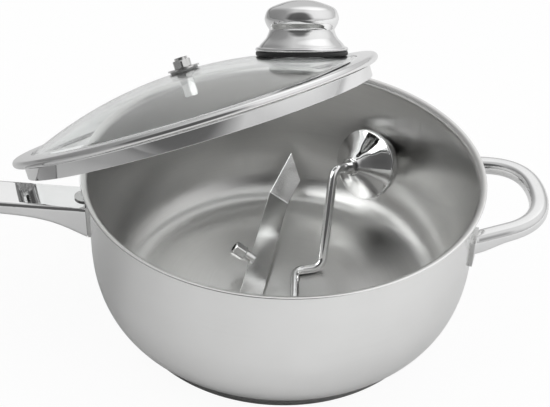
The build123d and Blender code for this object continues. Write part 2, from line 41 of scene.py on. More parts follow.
ON_AXIS = 1e-6          # radii below this, in mm, are one vertex


# ---------------------------------------------------------------- shader helpers
class Nodes:
    """Short names for building a node tree."""

    def __init__(self, tree):
        self.tree = tree

    def add(self, kind, **props):
        node = self.tree.nodes.new(kind)
        for name, value in props.items():
            setattr(node, name, value)
        return node

    def link(self, output, socket):
        self.tree.links.new(output, socket)

    def put(self, socket, value):
        if hasattr(value, "is_output"):
            self.link(value, socket)
        else:
            socket.default_value = value

    def math(self, operation, a, b=0.0):
        node = self.add("ShaderNodeMath", operation=operation)
        self.put(node.inputs[0], a)
        self.put(node.inputs[1], b)
        return node.outputs[0]

    def times(self, a, b):
        return self.math("MULTIPLY", a, b)

    def plus(self, a, b):
        return self.math("ADD", a, b)

    def vector_math(self, operation, a, b):
        node = self.add("ShaderNodeVectorMath", operation=operation)
        self.put(node.inputs[0], a)
        self.put(node.inputs[1], b)
        return node

    def combine(self, x, y, z):
        node = self.add("ShaderNodeCombineXYZ")
        for socket, value in zip(node.inputs, (x, y, z)):
            self.put(socket, value)
        return node.outputs[0]

    def span(self, value, low, high, a=0.0, b=1.0):
        """Maps low..high to a..b."""
        node = self.add("ShaderNodeMapRange")
        self.put(node.inputs["Value"], value)
        node.inputs["From Min"].default_value = low
        node.inputs["From Max"].default_value = high
        node.inputs["To Min"].default_value = a
        node.inputs["To Max"].default_value = b
        return node.outputs["Result"]

    def ramp(self, value, stops):
        """Colour ramp through (position, colour) stops."""
        node = self.add("ShaderNodeValToRGB")
        self.link(value, node.inputs[0])
        elements = node.color_ramp.elements
        for element, (position, colour) in zip(elements, (stops[0], stops[-1])):
            element.position, element.color = position, (*colour, 1)
        for position, colour in stops[1:-1]:
            elements.new(position).color = (*colour, 1)
        return node.outputs["Color"]

    def mix_shaders(self, fac, a, b):
        node = self.add("ShaderNodeMixShader")
        for socket, value in zip(node.inputs, (fac, a, b)):
            self.put(socket, value)
        return node.outputs[0]

    def seen(self):
        """1 for rays that reach the eye directly or through glass."""
        path = self.add("ShaderNodeLightPath")
        return self.math("MAXIMUM", path.outputs["Is Camera Ray"], path.outputs["Is Transmission Ray"])


class Mat(Nodes):
    """Material around one Principled shader."""

    NOISE_LOW, NOISE_HIGH = 0.3, 0.7    # where the values of a noise texture mostly lie
    INPUTS = {
        "color": "Base Color",
        "rough": "Roughness",
        "metal": "Metallic",
        "ior": "IOR",
        "trans": "Transmission Weight",
        "aniso": "Anisotropic",
    }

    def __init__(self, name):
        self.material = bpy.data.materials.new(name)
        self.material.use_nodes = True
        super().__init__(self.material.node_tree)
        self.bsdf = self.tree.nodes["Principled BSDF"]

    def position(self):
        return self.add("ShaderNodeTexCoord").outputs["Object"]

    def polar(self, vector):
        """(radius, angle, height) of a coordinate."""
        parts = self.add("ShaderNodeSeparateXYZ")
        self.link(vector, parts.inputs[0])
        x, y, z = parts.outputs
        radius = self.math("SQRT", self.plus(self.times(x, x), self.times(y, y)))
        return radius, self.math("ARCTAN2", y, x), z

    def noise(self, vector, scale, detail, rough):
        node = self.add("ShaderNodeTexNoise")
        self.link(vector, node.inputs["Vector"])
        node.inputs["Scale"].default_value = scale
        node.inputs["Detail"].default_value = detail
        node.inputs["Roughness"].default_value = rough
        return node.outputs["Fac"]

    def vary(self, noise, a, b):
        """Maps the usual values of a noise texture to a..b."""
        return self.span(noise, self.NOISE_LOW, self.NOISE_HIGH, a, b)

    def bump(self, height, strength, distance):
        node = self.add("ShaderNodeBump")
        node.inputs["Strength"].default_value = strength
        node.inputs["Distance"].default_value = distance
        self.link(height, node.inputs["Height"])
        self.link(node.outputs[0], self.bsdf.inputs["Normal"])

    def set(self, **values):
        for name, value in values.items():
            self.put(self.bsdf.inputs[self.INPUTS[name]], value)


def grey(value):
    return (value, value, value)


def greys(*stops):
    return [(position, grey(value)) for position, value in stops]


def spun_steel(name, base, rough, lines=900.0, depth=0.15, spread=0.05, aniso=0.35):
    """Metal turned about an axis: fine rings, faint tone bands, smudges in the gloss."""
    m = Mat(name)
    position = m.position()
    radius, angle, z = m.polar(position)
    ring = m.combine(m.times(radius, lines), m.times(z, lines), m.times(angle, 0.35))
    fine = m.noise(ring, 1.0, 4.0, 0.65)
    cloud = m.noise(position, 28.0, 3.0, 0.5)
    tone = m.plus(m.plus(m.vary(fine, -spread, spread), m.vary(cloud, -0.02, 0.02)), base)
    m.set(
        metal=1.0,
        aniso=aniso,
        color=m.combine(tone, tone, m.times(tone, 0.992)),
        rough=m.plus(m.vary(cloud, rough * 0.85, rough * 1.25), m.vary(fine, 0.0, 0.05)),
    )
    m.bump(fine, depth, 0.00004)
    return m.material


def brushed_inside():
    """The pot's inside: circular brushing on the floor, streaky brushing round the wall."""
    m = Mat("steel_inside")
    position = m.position()
    radius, angle, z = m.polar(position)
    fine = m.noise(m.combine(m.times(radius, 1400.0), m.times(angle, 1.2), m.times(z, 1100.0)), 1.0, 4.0, 0.7)
    wide = m.noise(m.combine(m.times(radius, 150.0), m.times(angle, 0.8), m.times(z, 120.0)), 1.0, 3.0, 0.6)
    cloud = m.noise(position, 22.0, 3.0, 0.5)
    streaks = m.plus(m.vary(fine, -0.016, 0.016), m.vary(wide, -0.005, 0.005))
    tone = m.plus(streaks, m.vary(cloud, 0.70, 0.74))
    m.set(
        metal=1.0,
        aniso=0.6,
        color=m.combine(tone, m.times(tone, 0.995), m.times(tone, 0.98)),
        rough=m.plus(m.vary(fine, 0.30, 0.36), m.vary(wide, -0.006, 0.006)),
    )
    m.bump(m.plus(fine, m.times(wide, 0.2)), 0.025, 0.00004)
    return m.material


def drawn_steel(name, base, rough):
    """Rolled, folded or drawn steel with fine straight lines along X."""
    along, across = 18.0, 1500.0
    m = Mat(name)
    lines = m.add("ShaderNodeMapping", vector_type="TEXTURE")
    lines.inputs["Scale"].default_value = (1.0 / along, 1.0 / across, 1.0 / across)
    m.link(m.position(), lines.inputs["Vector"])
    fine = m.noise(lines.outputs[0], 1.0, 3.0, 0.6)
    cloud = m.noise(m.position(), 40.0, 3.0, 0.5)
    tone = m.plus(m.vary(fine, -0.05, 0.05), m.vary(cloud, base - 0.03, base + 0.03))
    m.set(
        metal=1.0,
        color=m.combine(tone, tone, m.times(tone, 0.99)),
        rough=m.vary(cloud, rough * 0.8, rough * 1.3),
    )
    m.bump(fine, 0.2, 0.00003)
    return m.material


def polished(name, base, rough):
    """Mirror polished steel with faint smears."""
    m = Mat(name)
    cloud = m.noise(m.position(), 55.0, 4.0, 0.6)
    fine = m.noise(m.position(), 900.0, 2.0, 0.5)
    tone = m.vary(cloud, base - 0.02, base + 0.02)
    m.set(metal=1.0, color=m.combine(tone, tone, tone), rough=m.vary(cloud, rough * 0.7, rough * 1.6))
    m.bump(fine, 0.04, 0.00002)
    return m.material


def black_rubber(name):
    tone = 0.018
    m = Mat(name)
    grain = m.noise(m.position(), 1600.0, 3.0, 0.6)
    shade = m.vary(grain, tone * 0.7, tone * 1.5)
    m.set(color=m.combine(shade, shade, shade), rough=m.vary(grain, 0.38, 0.55))
    m.bump(grain, 0.15, 0.00004)
    return m.material


def pale_silicone(name):
    m = Mat(name)
    grain = m.noise(m.position(), 700.0, 3.0, 0.6)
    shade = m.vary(grain, 0.50, 0.60)
    m.set(trans=0.4, ior=1.41, color=m.combine(shade, shade, shade), rough=m.vary(grain, 0.25, 0.4))
    return m.material


def clear_glass(name):
    m = Mat(name)
    smear = m.noise(m.position(), 30.0, 3.0, 0.5)
    tint = m.ramp(smear, [(0.3, (0.965, 0.985, 0.98)), (0.7, (0.985, 0.995, 0.99))])
    m.set(trans=1.0, ior=1.47, color=tint, rough=m.span(smear, 0.35, 0.75, 0.0, 0.015))
    return m.material


# ---------------------------------------------------------------- mesh helpers, profiles in mm
def arc(cx, cz, radius, start, sweep, steps):
    """Points of an arc, angles in degrees."""
    angles = [math.radians(start + sweep * i / steps) for i in range(steps + 1)]
    return [(cx + radius * math.cos(a), cz + radius * math.sin(a)) for a in angles]


def smooth_path(points, steps):
    """Catmull-Rom curve through profile points."""
    out = []
    p = [points[0]] + list(points) + [points[-1]]
    for i in range(1, len(p) - 2):
        for k in range(steps):
            t = k / steps
            here = []
            for a, b, c, e in zip(p[i - 1], p[i], p[i + 1], p[i + 2]):
                square = (2 * a - 5 * b + 4 * c - e) * t * t
                cube = (3 * b - a - 3 * c + e) * t ** 3
                here.append(0.5 * (2 * b + (c - a) * t + square + cube))
            out.append(tuple(here))
    out.append(tuple(points[-1]))
    return out


def filleted(points, radii, steps=12):
    """Straight runs in space joined by tangent arcs."""
    path = [Vector(p) for p in points]
    out = [path[0]]
    for before, here, after, radius in zip(path, path[1:], path[2:], radii):
        u = (before - here).normalized()
        v = (after - here).normalized()
        angle = u.angle(v)
        cut = radius / math.tan(angle / 2)
        centre = here + (u + v).normalized() * (radius / math.sin(angle / 2))
        first = (here + u * cut - centre).normalized()
        last = (here + v * cut - centre).normalized()
        out += [centre + first.slerp(last, k / steps) * radius for k in range(steps + 1)]
    out.append(path[-1])
    return out


def placed(position, z_dir, x_dir):
    """Frame at a position in mm with a given Z and, as near as it goes, X."""
    z = Vector(z_dir).normalized()
    x = Vector(x_dir)
    x = (x - z * x.dot(z)).normalized()
    m = Matrix((x, z.cross(x), z)).transposed().to_4x4()
    m.translation = Vector(position) * MM
    return m


def shade_smooth(mesh, sharp):
    mesh.polygons.foreach_set("use_smooth", [True] * len(mesh.polygons))
    mesh.set_sharp_from_angle(angle=math.radians(sharp))


def to_object(name, body, node, verts, faces, mats, sharp, index=None):
    """Mesh that rides on a body and takes a node's place."""
    mesh = bpy.data.meshes.new(name)
    mesh.from_pydata(verts, [], faces)
    mesh.validate()
    for mat in mats:
        mesh.materials.append(mat)
    if index is not None:
        mesh.polygons.foreach_set("material_index", index)
    mesh.update()
    shade_smooth(mesh, sharp)
    ob = bpy.data.objects.new(name, mesh)
    bpy.context.scene.collection.objects.link(ob)
    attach(ob, body)
    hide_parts(node)
    return ob


def skin(name, body, node, rings, mats, sharp):
    """Closed mesh through rings of equal length."""
    count = len(rings[0])
    verts = [v for ring in rings for v in ring]
    faces = []
    for start in range(0, len(verts) - count, count):
        for k in range(count):
            after = (k + 1) % count
            faces.append([start + k, start + after, start + count + after, start + count + k])
    faces += [list(range(count - 1, -1, -1)), list(range(len(verts) - count, len(verts)))]
    return to_object(name, body, node, verts, faces, mats, sharp)


def outward(ob):
    """Turns a closed mesh's faces to the outside."""
    bm = bmesh.new()
    bm.from_mesh(ob.data)
    bmesh.ops.recalc_face_normals(bm, faces=bm.faces)
    bm.to_mesh(ob.data)
    bm.free()


def distinct(profile):
    """The closed profile without repeated points, counter-clockwise."""
    out = []
    for point in profile:
        if not out or math.dist(out[-1], point) > SAME_POINT:
            out.append(point)
    if math.dist(out[0], out[-1]) < SAME_POINT:
        out.pop()
    if sum(a[0] * b[1] - b[0] * a[1] for a, b in zip(out, out[1:] + out[:1])) < 0:
        out.reverse()
    return out


def lathe(name, body, node, profile, mats, seg, sharp, matrix=Matrix.Identity(4), pick=None):
    """Turns a closed profile [(r, z)] about Z. pick(r, z) gives the material of the faces there."""
    profile = distinct(profile)
    turns = [2 * math.pi * k / seg for k in range(seg)]
    verts, rings = [], []
    for r, z in profile:
        if abs(r) < ON_AXIS:
            rings.append([len(verts)] * seg)
            verts.append(matrix @ Vector((0, 0, z * MM)))
        else:
            rings.append(list(range(len(verts), len(verts) + seg)))
            verts += [matrix @ Vector((r * MM * math.cos(t), r * MM * math.sin(t), z * MM)) for t in turns]
    faces, index = [], []
    for a, b, (r0, z0), (r1, z1) in zip(rings, rings[1:] + rings[:1], profile, profile[1:] + profile[:1]):
        if a[0] == a[1] and b[0] == b[1]:
            continue
        material = pick((r0 + r1) / 2, (z0 + z1) / 2) if pick else 0
        for k in range(seg):
            after = (k + 1) % seg
            corners = [a[k], a[after], b[after], b[k]]
            faces.append([v for j, v in enumerate(corners) if v != corners[j - 1]])
            index.append(material)
    to_object(name, body, node, verts, faces, mats, sharp, index)


def tube(name, body, node, points, radii, mats, sides=44, sharp=50.0):
    """Round bar through points in space, ends closed."""
    path = [Vector(p) * MM for p in points]
    rings, x = [], None
    for i, (point, radius) in enumerate(zip(path, radii)):
        along = (path[min(i + 1, len(path) - 1)] - path[max(i - 1, 0)]).normalized()
        x = along.cross(Vector((0, 0, 1))).normalized() if x is None else (x - along * x.dot(along)).normalized()
        y = along.cross(x)
        turns = [2 * math.pi * k / sides for k in range(sides)]
        rings.append([point + (x * math.cos(t) + y * math.sin(t)) * radius * MM for t in turns])
    skin(name, body, node, rings, mats, sharp)


def dress(name, mat, sharp=30.0):
    """Gives a CAD node its material and smooth shading."""
    mesh = NODE[name].data
    mesh.materials.clear()
    mesh.materials.append(mat)
    mesh.polygons.foreach_set("material_index", [0] * len(mesh.polygons))
    shade_smooth(mesh, sharp)


# ---------------------------------------------------------------- camera
PHOTO_WIDTH, FOCAL_PIXELS, SENSOR = 550.0, 1164.09, 36.0
CAMERA_AT = (0, -0.56908, 0.49600)
PITCH, YAW, ROLL = math.radians(36.51), math.radians(-0.463), math.radians(1.84)


def make_camera():
    forward = Vector((math.sin(YAW) * math.cos(PITCH), math.cos(YAW) * math.cos(PITCH), -math.sin(PITCH)))
    level = Vector((math.cos(YAW), -math.sin(YAW), 0))
    upright = level.cross(forward)
    right = level * math.cos(ROLL) + upright * math.sin(ROLL)
    up = upright * math.cos(ROLL) - level * math.sin(ROLL)
    camera = bpy.data.objects.new("camera", bpy.data.cameras.new("camera"))
    matrix = Matrix((right, up, -forward)).transposed().to_4x4()
    matrix.translation = Vector(CAMERA_AT)
    camera.matrix_world = matrix
    camera.data.sensor_width = SENSOR
    camera.data.lens = SENSOR * FOCAL_PIXELS / PHOTO_WIDTH
    camera.data.clip_start, camera.data.clip_end = 0.01, 30.0
    bpy.context.scene.collection.objects.link(camera)
    bpy.context.scene.camera = camera


# ---------------------------------------------------------------- pot
SHEET, WALL_R, RIM_R, POT_H, BASE_Z, CORNER_H = 1.2, 116.5, 120.0, 103.1, 5.8, 48.0
TURN_R = 88.0               # where the flat bottom turns into the corner
CORNER_POWER = 2.2          # 2 is an ellipse, more is fuller
CORNER_STEPS = 44
CORNER_Z = BASE_Z + CORNER_H
FLOOR_Z = BASE_Z + SHEET
LIP_LOW_R = RIM_R - WALL_R - SHEET / 2
LIP_TOP_R = LIP_LOW_R + SHEET
LIP_R = WALL_R + LIP_LOW_R
LIP_Z = POT_H - SHEET - LIP_LOW_R
LIP_EDGE = 0.3              # the inside's finish ends this far before the lip's crest
FLAT_RING = 50.0            # extra rings that keep the long faces of the bottom and wall short
TURN_RING = 1.0
WALL_RING = 18.0


def corner(width, height):
    """Pot corner from the flat bottom up to the wall."""
    angles = [math.pi / 2 * (1 - i / CORNER_STEPS) for i in range(CORNER_STEPS + 1)]
    share = 2 / CORNER_POWER
    return [(TURN_R + width * math.cos(t) ** share, CORNER_Z - height * math.sin(t) ** share) for t in angles]


def in_pot(r, z):
    """True on the inside of the sheet's middle."""
    if z >= LIP_Z:
        return math.hypot(r - LIP_R, z - LIP_Z) > LIP_LOW_R + SHEET / 2 and r < LIP_R - LIP_EDGE
    if z >= CORNER_Z:
        return r < WALL_R - SHEET / 2
    if r <= TURN_R:
        return z > BASE_Z + SHEET / 2
    depth = min(1.0, (CORNER_Z - z) / (CORNER_H - SHEET / 2))
    width = WALL_R - SHEET / 2 - TURN_R
    return r < TURN_R + width * (1 - depth ** CORNER_POWER) ** (1 / CORNER_POWER)


def make_pot():
    outside = [(0, BASE_Z), (FLAT_RING, BASE_Z), (TURN_R - TURN_RING, BASE_Z)]
    outside += corner(WALL_R - TURN_R, CORNER_H) + [(WALL_R, CORNER_Z + WALL_RING), (WALL_R, LIP_Z)]
    lip = arc(LIP_R, LIP_Z, LIP_LOW_R, 180, -90, 8) + arc(LIP_R, POT_H - SHEET / 2, SHEET / 2, -90, 180, 6)
    lip += reversed(arc(LIP_R, LIP_Z, LIP_TOP_R, 180, -90, 10))
    inner = WALL_R - SHEET
    inside = [(inner, LIP_Z), (inner, CORNER_Z + WALL_RING)]
    inside += reversed(corner(inner - TURN_R, CORNER_H - SHEET))
    inside += [(TURN_R - TURN_RING, FLOOR_Z), (FLAT_RING, FLOOR_Z), (0, FLOOR_Z)]
    satin = spun_steel("steel_outside", base=0.88, rough=0.15, lines=700, depth=0.05, spread=0.012, aniso=0.3)
    lathe(
        "pot_shell",
        "pot",
        "pot_body",
        outside + lip + inside,
        [satin, brushed_inside()],
        seg=240,
        sharp=35,
        pick=lambda r, z: int(in_pot(r, z)),
    )


# base cup, seen below the pot's corner, with a fine groove round it
CUP_R, CUP_TOP, CUP_EDGE, CUP_SHEET = 96.6, 7.2, 1.6, 0.8
CUP_TOP_EDGE = 0.6
CUP_LAND, CUP_GAP = 2.0, 0.1
CUP_RING = 40.0
GROOVE = ((0.0, 4.3), (0.35, 4.5), (0.35, 4.9), (0.0, 5.1))     # depth, height


def make_base():
    cup = (
        [(0, 0), (CUP_RING, 0), (CUP_R - CUP_EDGE, 0)]
        + arc(CUP_R - CUP_EDGE, CUP_EDGE, CUP_EDGE, 270, 90, 8)
        + [(CUP_R - depth, z) for depth, z in GROOVE]
        + [(CUP_R, CUP_TOP - CUP_TOP_EDGE)]
        + arc(CUP_R - CUP_TOP_EDGE, CUP_TOP - CUP_TOP_EDGE, CUP_TOP_EDGE, 0, 90, 4)
        + [(TURN_R + CUP_LAND, BASE_Z - CUP_GAP), (TURN_R, BASE_Z - CUP_GAP)]
        + [(TURN_R - CUP_SHEET, CUP_SHEET), (0, CUP_SHEET)]
    )
    # painted shade: the cup's steel is made dark to stand in for the floor's shadow reflected in it
    steel = spun_steel("steel_base_painted_shade", base=0.30, rough=0.25, depth=0.1, spread=0.04)
    lathe("base_cup", "pot", "base_cap", cup, [steel], seg=200, sharp=35)
    dress("base_core", spun_steel("aluminium_core", base=0.75, rough=0.3), 35)


# ---------------------------------------------------------------- handles
HANDLE_AZ, HANDLE_TOP, HANDLE_RISE = math.radians(4.7), 81.0, math.radians(6.2)
ROOT_GAP = 2.0              # the loop starts this far off the wall, on its weld plates
LOOP_REACH, LOOP_BAND, LOOP_H, LOOP_ROOT_H = 161.3, 11.5, 9.0, 11.8
LOOP_ROOT_RUN, LOOP_ROOT_IN = 20.0, 5.0     # over this length the root's height runs out
LOOP_HALF_ROOT, LOOP_HALF_MID, LOOP_ARM, LOOP_FULL = 43.5, 40.5, 13.0, 1.3
LOOP_START = 9.0            # the arms' first points lie this far behind the wall's front
LOOP_TOP_EDGE, LOOP_EDGE = 4.4, 2.8
ARM_STEPS, FRONT_STEPS = 10, 32


def loop_outline(inset):
    """Half of the D from the wall to the tip, as (x, y)."""
    mid = Vector((WALL_R + LOOP_ARM, LOOP_HALF_MID - inset))
    slope = (LOOP_HALF_MID - LOOP_HALF_ROOT) / LOOP_ARM
    root = Vector((WALL_R - LOOP_START, mid.y - slope * (LOOP_ARM + LOOP_START)))
    tip = Vector((LOOP_REACH - inset, 0))
    pull = LOOP_FULL * (tip - mid).length
    leave, arrive = Vector((1, slope)).normalized() * pull, Vector((0, -1)) * pull
    out = [root.lerp(mid, i / ARM_STEPS) for i in range(ARM_STEPS)]
    for i in range(FRONT_STEPS + 1):
        t = i / FRONT_STEPS
        near = (2 * t ** 3 - 3 * t ** 2 + 1) * mid + (t ** 3 - 2 * t ** 2 + t) * leave
        out.append(near + (3 * t ** 2 - 2 * t ** 3) * tip + (t ** 3 - t ** 2) * arrive)
    return out


def loop_section(width, height):
    """Rounded section as (from the inner side, below the top)."""
    top, low = LOOP_TOP_EDGE, LOOP_EDGE
    return (
        arc(width - top, -top, top, 90, -90, 8)
        + arc(width - low, -height + low, low, 0, -90, 6)
        + arc(low, -height + low, low, 270, -90, 6)
        + arc(top, -top, top, 180, -90, 8)
    )


def on_handle_line(x, y, z):
    """Tilts by the handles' rise about the top edge at the wall and keeps off the wall."""
    out = WALL_R + (x - WALL_R) * math.cos(HANDLE_RISE) - z * math.sin(HANDLE_RISE)
    up = HANDLE_TOP + (x - WALL_R) * math.sin(HANDLE_RISE) + z * math.cos(HANDLE_RISE)
    out = max(out, math.sqrt((WALL_R + ROOT_GAP) ** 2 - y * y))
    return Matrix.Rotation(HANDLE_AZ, 3, "Z") @ Vector((out, y, up)) * MM


def make_loop():
    """The D of the solid, with its top edges rounded wider."""
    half = list(zip(loop_outline(0.0), loop_outline(LOOP_BAND)))
    other = [(Vector((o.x, -o.y)), Vector((i.x, -i.y))) for o, i in reversed(half[:-1])]
    rings = []
    for outer, inner in half + other:
        run = min(1.0, max(0.0, (outer.x - WALL_R + LOOP_ROOT_IN) / LOOP_ROOT_RUN))
        height = LOOP_ROOT_H + (LOOP_H - LOOP_ROOT_H) * run * run * (3 - 2 * run)
        across = (outer - inner).normalized()
        ring = []
        for w, z in loop_section((outer - inner).length, height):
            point = inner + across * w
            ring.append(on_handle_line(point.x, point.y, z))
        rings.append(ring)
    steel = polished("steel_loop", 0.74, 0.09)
    outward(skin("loop_bar", "pot", "loop_handle", rings, [steel], 60.0))


def make_handles():
    dress("long_handle", polished("steel_handles", 0.84, 0.06))
    make_loop()
    bracket_steel = drawn_steel("steel_brackets", base=0.50, rough=0.14)
    for name in ("long_handle_bracket", "loop_bracket_back", "loop_bracket_front"):
        dress(name, bracket_steel)


# ---------------------------------------------------------------- lid
LID = placed((-57.61, 62.72, 101.96), (-0.316, 0.420, 0.851), (0.799, 0.601, 0.0))
LID_R, FLANGE_T, BAND, SKIRT_R, SKIRT_DROP = 120.0, 5.0, 0.6, 113.6, 11.1
GLASS_R, GLASS_LAND, GLASS_T, DOME_TOP, DOME_FOOT = 107.0, 111.0, 2.8, 24.6, 2.3
LAND_DROP_TOP, LAND_DROP_LOW = 0.6, 0.2     # the flat edge lies this far below the dome's foot
HOLE_R = 4.6
DOME_STEPS = 26
RISE = DOME_TOP - DOME_FOOT
SPHERE = (GLASS_R ** 2 + RISE ** 2) / (2 * RISE)    # radius of the dome's outside
SPHERE_Z = DOME_TOP - SPHERE
INNER_BEND, OUTER_BEND = 1.2, 0.8           # where the band turns down into the skirt
BAND_ROLL, BAND_CREST = 113.0, 0.45         # where the rolled edge ends, and how high the band rises over it
BAND_TIP, BAND_FOOT = 0.3, 0.5              # how far the band stays outside the dome's edge, above and below
SEAT_DROP, SEAT_GAP = 0.55, 0.02            # the band's seat below the dome's foot, and off the glass


def dome(rho, depth=0.0):
    """Height of the glass at a radius, depth below its outside."""
    return SPHERE_Z + math.sqrt((SPHERE - depth) ** 2 - rho * rho)


def make_glass():
    radii = [HOLE_R + (GLASS_R - HOLE_R) * i / DOME_STEPS for i in range(DOME_STEPS + 1)]
    glass = (
        [(r, dome(r)) for r in radii]
        + [(GLASS_LAND, dome(GLASS_R) - LAND_DROP_TOP), (GLASS_LAND, dome(GLASS_R, GLASS_T) - LAND_DROP_LOW)]
        + [(r, dome(r, GLASS_T)) for r in reversed(radii)]
    )
    lathe("lid_dome", "lid", "lid_glass", glass, [clear_glass("glass_lid")], 200, 60, LID)


def make_band():
    """Rolled edge over the glass, with the plug skirt below it."""
    half = FLANGE_T / 2
    bead = LID_R - half
    top, low = dome(GLASS_R), dome(GLASS_R, GLASS_T) - LAND_DROP_LOW
    tip, foot = GLASS_R + BAND_TIP, GLASS_R + BAND_FOOT
    over = [(bead, half), (BAND_ROLL, half + 0.35), (tip + BAND, half + BAND_CREST), (tip, top + 0.1)]
    seat = [(tip, top + SEAT_GAP), (GLASS_LAND, top - SEAT_DROP), (GLASS_LAND, low), (foot, low + SEAT_GAP)]
    inner = SKIRT_R - BAND
    band = (
        arc(bead, 0, half, -90, 180, 14)
        + smooth_path(over, 5)
        + seat
        + [(foot, low - BAND), (inner - INNER_BEND, low - BAND)]
        + arc(inner - INNER_BEND, low - BAND - INNER_BEND, INNER_BEND, 90, -90, 6)
        + [(inner, -SKIRT_DROP + BAND / 2)]
        + arc(SKIRT_R - BAND / 2, -SKIRT_DROP + BAND / 2, BAND / 2, 180, 180, 6)
        + [(SKIRT_R, -half - OUTER_BEND)]
        + arc(SKIRT_R + OUTER_BEND, -half - OUTER_BEND, OUTER_BEND, 180, -90, 5)
        + [(bead, -half)]
    )
    steel = polished("steel_lid_band", 0.84, 0.05)
    lathe("lid_band", "lid", "lid_rim_band", band, [steel], 240, 50, LID)


def make_lid(fitting_steel):
    make_glass()
    make_band()
    for name in ("lid_bushing", "lid_washer", "lid_nut"):
        dress(name, fitting_steel, 25)
    silicone = pale_silicone("silicone_gaskets")
    for name in ("lid_lower_gasket", "lid_upper_gasket"):
        dress(name, silicone)


# ---------------------------------------------------------------- lid knob, standing on the glass
# The bare numbers in the profiles of the knob and the grip are points of freely drawn curves.
KNOB_FOOT, NECK, NECK_H, CROWN, CROWN_Z, KNOB_TOP = 29.2, 20.6, 16.2, 23.3, 24.0, 34.7
KNOB_SHEET, SEAL_H, KNOB_EDGE, KNOB_GAP, KNOB_TURN = 0.8, 2.6, 3.27, 0.3, math.radians(-31.28)
FOOT_ROLL, FOOT_OVER, FOOT_LAND = 1.3, 0.2, 4.2     # rolled edge, its overhang, its flat on the seal
CROWN_SHEET = 1.6


def knob_frame():
    """The knob's own frame: square to the dome, near the edge of the glass."""
    lean = math.asin((GLASS_R - KNOB_EDGE - KNOB_FOOT) / SPHERE)
    sag = SPHERE - math.sqrt(SPHERE ** 2 - KNOB_FOOT ** 2)
    return (
        LID
        @ Matrix.Rotation(KNOB_TURN, 4, "Z")
        @ Matrix.Translation((0, 0, SPHERE_Z * MM))
        @ Matrix.Rotation(lean, 4, "Y")
        @ Matrix.Translation((0, 0, (SPHERE - sag + KNOB_GAP) * MM))
    )


def knob_foot():
    """Flared foot with a rolled edge."""
    foot = KNOB_FOOT - FOOT_ROLL + FOOT_OVER
    flare = [
        (foot, SEAL_H + 2 * FOOT_ROLL),
        (foot - 0.7, SEAL_H + 2 * FOOT_ROLL + 0.15),
        (NECK + 5.4, 7.2),
        (NECK + 2.0, NECK_H - 5.2),
        (NECK + 0.4, NECK_H - 1.8),
        (NECK, NECK_H),
    ]
    back = [(NECK - KNOB_SHEET, NECK_H), (NECK + 2.0 - KNOB_SHEET, NECK_H - 5.6), (foot - FOOT_LAND, SEAL_H + 1.2)]
    return (
        [(foot - FOOT_LAND, SEAL_H), (foot, SEAL_H)]
        + arc(foot, SEAL_H + FOOT_ROLL, FOOT_ROLL, 270, 180, 10)
        + smooth_path(flare, 8)
        + back
    )


def knob_head():
    """Rounded head, closed at its top and hollow inside."""
    outside = [
        (NECK, NECK_H),
        (NECK + 0.9, NECK_H + 1.5),
        (CROWN - 0.35, NECK_H + 4.4),
        (CROWN, CROWN_Z),
        (CROWN * 0.90, CROWN_Z + 5.0),
        (CROWN * 0.62, KNOB_TOP - 2.6),
        (CROWN * 0.30, KNOB_TOP - 0.55),
        (0, KNOB_TOP),
    ]
    inside = [
        (0, KNOB_TOP - CROWN_SHEET),
        (NECK - 4, NECK_H + 8),
        (NECK - CROWN_SHEET, NECK_H + CROWN_SHEET),
        (0, NECK_H + CROWN_SHEET),
    ]
    return [(0, NECK_H), (NECK, NECK_H)] + smooth_path(outside, 9) + inside


def make_knob(fitting_steel):
    mirror = polished("steel_knob", 0.86, 0.035)
    knob = knob_frame()
    lathe("knob_foot", "lid_knob", "knob_skirt", knob_foot(), [mirror], 144, 50, knob)
    lathe("knob_head", "lid_knob", "knob_crown", knob_head(), [mirror], 144, 50, knob)
    dress("knob_seal", black_rubber("rubber_seals"), 40)
    dress("knob_boss", fitting_steel)


# ---------------------------------------------------------------- crank
GRIP_AXIS = Vector((0.660, 0.680, -0.320)).normalized()
GRIP_RIM = Vector((54.6, 77.5, 52.8))
ROD_R = 3.0
SPINDLE_TOP, SPINDLE_FOOT = 4.5, 33.4       # along the grip's axis, above and below the grip's rim
SHAFT_X, SHAFT_BACK, SHAFT_END = 9.8, 14.4, -83.0
SHAFT_GAP = 0.3                             # above the pot's floor
SHAFT_Z = FLOOR_Z + ROD_R + SHAFT_GAP
ARM_X, ARM_Y = 27.0, 19.0                   # where the arm has come down to the shaft's height
CRANK_BENDS = (7.0, 8.0, 7.0)
THREAD_START, THREAD_STEP, THREAD_POINTS = -83.2, 0.55, 15
THREAD_R, THREAD_ROOT = 2.4, 2.05
THREAD_END = ((-91.6, 2.3), (-92.0, 1.8))   # y and radius where the end is chamfered


def make_crank():
    """Bent round rod with a threaded, reduced end."""
    corners = [
        GRIP_RIM + GRIP_AXIS * SPINDLE_TOP,
        GRIP_RIM - GRIP_AXIS * SPINDLE_FOOT,
        (ARM_X, ARM_Y, SHAFT_Z),
        (SHAFT_X, SHAFT_BACK, SHAFT_Z),
        (SHAFT_X, SHAFT_END, SHAFT_Z),
    ]
    route = filleted(corners, CRANK_BENDS)
    thread = [
        (THREAD_START - i * THREAD_STEP, THREAD_ROOT if i % 2 else THREAD_R) for i in range(THREAD_POINTS)
    ] + list(THREAD_END)
    points = route + [Vector((SHAFT_X, y, SHAFT_Z)) for y, _ in thread]
    radii = [ROD_R] * len(route) + [radius for _, radius in thread]
    tube("crank_bar", "crank", "crank_rod", points, radii, [polished("steel_rod", 0.82, 0.07)])


# ---------------------------------------------------------------- grip
GRIP = placed(GRIP_RIM, GRIP_AXIS, Vector((0, 0, 1)).cross(GRIP_AXIS))
GRIP_R, CONE_H, CONE_SMALL, CONE_BORE, PALM_H, GRIP_LIP = 23.8, 15.4, 6.2, 5.0, 18.6, 1.3
LIP_IN = GRIP_R - GRIP_LIP
PALM_R = LIP_IN - 0.8
PALM_SHEET = 1.2


